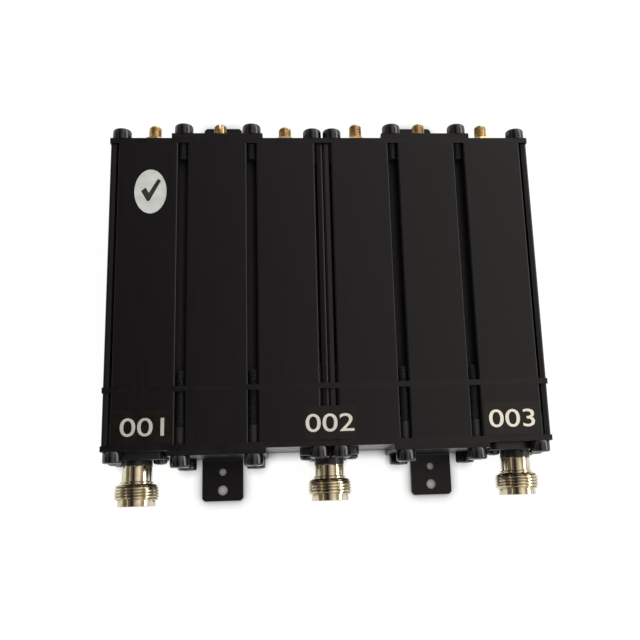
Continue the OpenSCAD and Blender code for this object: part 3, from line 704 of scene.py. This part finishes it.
def port_material(name, painted_to):
    """Nickel plate, sprayed black from the flange to a ragged line on the neck, with grime and
    painted shade in the thread roots
    """
    material = metal_material(
        name, dark=(0.46, 0.40, 0.27), light=(0.76, 0.69, 0.52),
        gloss_low=0.08, gloss_high=0.16, patch_scale=350
    )
    tree = material.node_tree
    shader = tree.nodes["Principled BSDF"]
    place = axes_of(tree, point_on_piece(tree))
    drips = noise_node(tree, scale=700, detail=3, stretch=(1, 0.3, 1))
    ragged_y = math_node(tree, "ADD", place["Y"], spread_value(tree, drips, -0.5 * MM, 0.5 * MM))
    line_y = port_face_y - painted_to
    painted = grade(tree, ragged_y, line_y - 0.2 * MM, line_y + 0.2 * MM)
    beside = math_node(tree, "PINGPONG", place["X"], port_x[2] / 2)
    above = math_node(tree, "SUBTRACT", place["Z"], port_z)
    squares = [math_node(tree, "MULTIPLY", part, part) for part in (beside, above)]
    radius = math_node(tree, "SQRT", math_node(tree, "ADD", *squares))
    # The thread roots are darker: grime, and painted shade where little light reaches.
    grime_and_shade_depth = grade(tree, radius, thread_r - 0.2 * MM, thread_r - 0.6 * MM)
    grime_and_shade_y = port_face_y - (grime_and_shade_start + grime_and_shade_end) / 2
    in_thread = within(tree, place["Y"], grime_and_shade_y, (grime_and_shade_end - grime_and_shade_start) / 2)
    roots = math_node(tree, "MULTIPLY", grime_and_shade_depth, in_thread)
    bare = mix_colours(tree, roots, feed_of(shader, "Base Color"), root_grime_and_shade)
    colour = mix_colours(tree, painted, bare, neck_paint)
    tree.links.new(colour, shader.inputs["Base Color"])
    tree.links.new(math_node(tree, "SUBTRACT", 1, painted), shader.inputs["Metallic"])
    paint_gloss = math_node(tree, "MULTIPLY", painted, neck_paint_gloss)
    rough = math_node(tree, "MAXIMUM", feed_of(shader, "Roughness"), paint_gloss)
    tree.links.new(rough, shader.inputs["Roughness"])
    return material


def turned_port(name):
    """One port along the Z axis from the face of the end plate, without its flange"""
    thread_pitch, thread_depth = 25.4 / 24 * MM, 0.45 * MM
    widest, end_rounding = 14 * MM, 0.15
    bm = bmesh.new()
    spin_profile(bm, [
        (bore_r, -sheet_t), (spigot_r, -sheet_t), (spigot_r, 0), (neck_r - 0.15 * MM, 0),
        (neck_r - 0.15 * MM, 3 * MM), (neck_r, 3.15 * MM), (neck_r, 9.9 * MM),
        (step_r - 0.1 * MM, 10.1 * MM), (step_r, 10.2 * MM), (step_r, 10.45 * MM),
        (relief_r, 10.55 * MM), (relief_r, 10.8 * MM)
    ] + fill_in([(thread_r, thread_start), (thread_r, thread_end)], thread_pitch / 12) + [
        (rim_r, thread_end + 0.1 * MM), (rim_r, port_reach - 0.3 * MM),
        (rim_r - 0.08 * MM, port_reach - 0.08 * MM), (rim_r - 0.3 * MM, port_reach),
        (mouth_r + 0.25 * MM, port_reach), (mouth_r, port_reach - 0.3 * MM),
        (mouth_r, mouth_floor), (bore_r, mouth_floor)
    ], sides=96, closed=True)
    cut_thread(bm, thread_r, thread_pitch, thread_depth, thread_start, thread_end, crest=0.4)
    for vert in bm.verts:
        if vert.co.xy.length > thread_r - 0.5 * MM:
            share = abs(vert.co.z - widest) / (widest - thread_start)
            rounding = end_rounding * share ** 4
            vert.co.x *= 1 - rounding
            vert.co.y *= 1 - rounding
    return add_mesh_object(name, bm)


def rod_cutter(x, radius, low, high):
    """A plain round bar along the Z axis, to bore with"""
    bm = bmesh.new()
    bmesh.ops.create_cone(
        bm, cap_ends=True, segments=64, radius1=radius, radius2=radius, depth=high - low
    )
    bmesh.ops.translate(bm, verts=bm.verts, vec=(x, 0, (low + high) / 2))
    return add_mesh_object("bore_cutter", bm)


def port_flange():
    """One flange lying on the end plate's face, with rounded corners, an eased rim and its bores"""
    neck_hole_r, screw_hole_r = 4.8 * MM, 1.7 * MM
    below, above = -1 * MM, flange_t + 1.4 * MM
    bm = bmesh.new()
    bmesh.ops.create_grid(bm, x_segments=1, y_segments=1, size=0.5)
    bmesh.ops.scale(bm, verts=bm.verts, vec=(flange_w, flange_h, 1))
    bmesh.ops.bevel(
        bm, geom=bm.verts, offset=flange_corner_r, offset_type="OFFSET", segments=10,
        profile=0.5, affect="VERTICES", material=-1
    )
    top = bmesh.ops.extrude_face_region(bm, geom=bm.faces)["geom"]
    top_verts = [part for part in top if isinstance(part, bmesh.types.BMVert)]
    bmesh.ops.translate(bm, verts=top_verts, vec=(0, 0, flange_t))
    bmesh.ops.recalc_face_normals(bm, faces=bm.faces)
    rim = [
        edge for edge in bm.edges
        if all(abs(vert.co.z - flange_t) < 0.01 * MM for vert in edge.verts)
    ]
    bmesh.ops.bevel(
        bm, geom=rim, offset=0.3 * MM, offset_type="OFFSET", segments=2,
        profile=0.5, affect="EDGES", material=-1
    )
    flange = add_mesh_object("flange", bm)
    bores = [rod_cutter(0, neck_hole_r, below, above)]
    for side in (-1, 1):
        bores.append(rod_cutter(side * flange_span / 2, screw_hole_r, below, above))
    carve(flange, bores, "DIFFERENCE")
    return flange


def port_body(node, x, material):
    """One port with its flange, turned to point out of the port end"""
    piece = turned_port(node + "_turned")
    carve(piece, [port_flange()], "UNION")
    place = Matrix.Translation(Vector((x, port_face_y, port_z)))
    place @= Matrix.Rotation(HALF_TURN / 2, 4, "X")
    piece.data.transform(place)
    resoften(piece, 35)
    piece.data.materials.append(material)
    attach(piece, "housing")
    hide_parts(node)


contact_gilt = metal_material(
    "contact_gilt", dark=(0.70, 0.48, 0.16), light=(0.86, 0.64, 0.26),
    gloss_low=0.16, gloss_high=0.3, patch_scale=300
)
for side, x, painted_to in zip(port_sides, port_x, painted_lengths):
    port_body(f"port_body_{side}", x, port_material(f"nickel_{side}", painted_to))
    dress(f"port_insulator_{side}", white_plastic)
    dress(f"port_contact_{side}", contact_gilt)


# Flange screws: low pan heads with a cross recess, two for each port, sprayed with the flange.
# The head sits on the flange, and the shank ends level with the inside of the end plate.
def flange_screw_mesh():
    """One flange screw along the Z axis, its head up from zero"""
    head_r, head_h, shank_r, length = 2.5 * MM, 1.5 * MM, 1.5 * MM, flange_t + sheet_t
    arm_l, arm_w, arm_depth, arm_taper = 2.6 * MM, 0.55 * MM, 0.9 * MM, 0.45
    clear = 0.7 * MM
    bm = bmesh.new()
    spin_profile(bm, [
        (0, head_h), (0.6 * MM, head_h), (1.2 * MM, head_h), (1.7 * MM, head_h - 0.08 * MM),
        (2.15 * MM, head_h - 0.3 * MM), (2.42 * MM, head_h - 0.65 * MM), (head_r, 0.5 * MM),
        (head_r, 0.05 * MM), (head_r - 0.05 * MM, 0), (shank_r, 0), (shank_r, -length), (0, -length)
    ], sides=40)
    piece = add_mesh_object("flange_screw", bm)
    arms = []
    for turn in (0, HALF_TURN / 2):
        bm = bmesh.new()
        bmesh.ops.create_cube(bm, size=1)
        bmesh.ops.scale(bm, verts=bm.verts, vec=(arm_l, arm_w, arm_depth + clear))
        for vert in bm.verts:
            if vert.co.z < 0:
                vert.co.x *= arm_taper
        bmesh.ops.rotate(bm, verts=bm.verts, cent=(0, 0, 0), matrix=Matrix.Rotation(turn, 3, "Z"))
        bmesh.ops.translate(bm, verts=bm.verts, vec=(0, 0, head_h - (arm_depth - clear) / 2))
        arms.append(add_mesh_object("cross_cutter", bm))
    carve(piece, arms, "DIFFERENCE")
    resoften(piece, 40)
    mesh = piece.data
    bpy.data.objects.remove(piece)
    return mesh


bm = bmesh.new()
place_copies(bm, flange_screw_mesh(), [
    Matrix.Translation(Vector((x + side * flange_span / 2, port_face_y - flange_t, port_z)))
    @ Matrix.Rotation(HALF_TURN / 2, 4, "X") @ Matrix.Rotation(x * 40 + side, 4, "Z")
    for x in port_x for side in (-1, 1)
])
piece = add_mesh_object("flange_screws_turned", bm)
piece.data.materials.append(black_steel)
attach(piece, "housing")
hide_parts("flange_screws")

# Port labels: dark printed film with a plain cream number each. They are stuck across the lands
# at the port end, and the middle one bridges the ledges between the two blocks.
digit_h = 6.6 * MM
digit_share_of_size = 0.73
digit_boldness = 0.004
digit_stretch = 1.32
ink_t = 0.03 * MM
# The ink of each number, dark and light: one cream ink, painted darker towards the low side as
# shade.
cream_inks_with_painted_shade = (
    ((0.36, 0.36, 0.33), (0.44, 0.44, 0.40)),
    ((0.50, 0.49, 0.44), (0.60, 0.58, 0.52)),
    ((0.62, 0.60, 0.51), (0.74, 0.71, 0.61))
)


def film_material(name, dark, light, gloss_low, gloss_high):
    """Smooth printed film with faint waves from the surface under it"""
    material, tree, shader = new_material(name)
    shader.inputs["Specular IOR Level"].default_value = 0.3
    cloud = noise_node(tree, scale=260, detail=3)
    colour = mix_colours(tree, spread_value(tree, cloud, 0, 1), dark, light)
    tree.links.new(colour, shader.inputs["Base Color"])
    tree.links.new(spread_value(tree, cloud, gloss_low, gloss_high), shader.inputs["Roughness"])
    add_bump(tree, shader, noise_node(tree, scale=420, detail=2), 0.02 * MM)
    return material


def add_number(name, digits, x, y, z):
    """A printed number, centred on a point and lying on the film"""
    letters = bpy.data.curves.new(name, "FONT")
    letters.body = digits
    letters.size = digit_h / digit_share_of_size
    letters.offset = digit_boldness * digit_h
    letters.extrude = 0.5
    holder = bpy.data.objects.new(name, letters)
    graph = bpy.context.evaluated_depsgraph_get()
    mesh = bpy.data.meshes.new_from_object(holder.evaluated_get(graph))
    bpy.data.objects.remove(holder)
    bm = bmesh.new()
    bm.from_mesh(mesh)
    xs = [vert.co.x for vert in bm.verts]
    ys = [vert.co.y for vert in bm.verts]
    to_centre = (-(min(xs) + max(xs)) / 2, -(min(ys) + max(ys)) / 2, 0)
    bmesh.ops.remove_doubles(bm, verts=bm.verts, dist=weld_gap)
    bmesh.ops.translate(bm, verts=bm.verts, vec=to_centre)
    bmesh.ops.scale(bm, verts=bm.verts, vec=(digit_stretch, 1, ink_t))
    bmesh.ops.translate(bm, verts=bm.verts, vec=(x, y, z))
    return add_mesh_object(name, bm)


label_film = film_material(
    "label_film", dark=(0.0030, 0.0023, 0.0016), light=(0.0060, 0.0046, 0.0032),
    gloss_low=0.24, gloss_high=0.34
)
# The numbers' inks differ only by painted shade, darkest on the low side.
for number, (dark, light) in enumerate(cream_inks_with_painted_shade, 1):
    node = f"port_label_{number}"
    dress(node, label_film)
    low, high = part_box(node)
    x, y = (low.x + high.x) / 2, (low.y + high.y) / 2
    piece = add_number(f"label_number_{number}", f"00{number}", x, y, high.z)
    piece.data.materials.append(film_material(f"cream_ink_{number}", dark, light, 0.4, 0.5))
    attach(piece, "housing")

# The oval sticker: pale brushed foil with a plain printed tick, stuck on the first land.
# Its foil is thin enough to follow the paint below.
tick_outline = (
    (-3.4, 0.1), (-1.8, 1.5), (-0.6, -0.6), (2.7, 5.0), (3.8, 4.2), (-0.3, -3.8), (-1.2, -3.8)
)
oval_foil = film_material(
    "oval_foil", dark=(0.45, 0.48, 0.47), light=(0.55, 0.58, 0.58),
    gloss_low=0.35, gloss_high=0.5
)
tick_ink = film_material(
    "tick_ink", dark=(0.014, 0.014, 0.012), light=(0.026, 0.026, 0.022),
    gloss_low=0.4, gloss_high=0.5
)
dress("oval_sticker", oval_foil)
low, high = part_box("oval_sticker")
bm = bmesh.new()
corners = [bm.verts.new((x * MM, y * MM, 0)) for x, y in tick_outline]
bm.faces.new(corners)
raised = bmesh.ops.extrude_face_region(bm, geom=bm.faces)["geom"]
raised_verts = [part for part in raised if isinstance(part, bmesh.types.BMVert)]
bmesh.ops.translate(bm, verts=raised_verts, vec=(0, 0, ink_t))
bmesh.ops.recalc_face_normals(bm, faces=bm.faces)
bmesh.ops.translate(bm, verts=bm.verts, vec=((low.x + high.x) / 2, (low.y + high.y) / 2, high.z))
piece = add_mesh_object("sticker_tick", bm)
piece.data.materials.append(tick_ink)
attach(piece, "housing")
